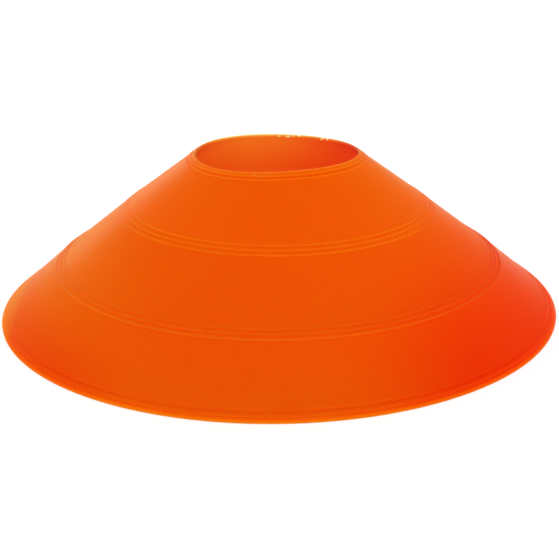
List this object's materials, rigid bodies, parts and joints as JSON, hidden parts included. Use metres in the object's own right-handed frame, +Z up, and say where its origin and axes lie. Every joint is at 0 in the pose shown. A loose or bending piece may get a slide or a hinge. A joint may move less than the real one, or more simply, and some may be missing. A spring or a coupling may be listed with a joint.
{
  "type": "marker cone",
  "caption": "Low open-topped sports marker cone of thin orange plastic, with moulded ring bands and a flat foot.",
  "frame": {"origin": "on the ground, at the middle of the foot", "axes": "+Z up along the cone's axis, towards the opening; X and Y are equal because the cone is round"},
  "size_m": [0.19, 0.19, 0.0519],
  "materials": {
    "cone_plastic": "soft satin, slightly translucent orange polyethylene"
  },
  "bodies": {
    "root": {"opening_rim": "cone_plastic", "upper_wall": "cone_plastic", "upper_ring_band": "cone_plastic", "middle_wall": "cone_plastic", "lower_ring_band": "cone_plastic", "lower_wall": "cone_plastic", "foot_rim": "cone_plastic"}
  },
  "joints": []
}
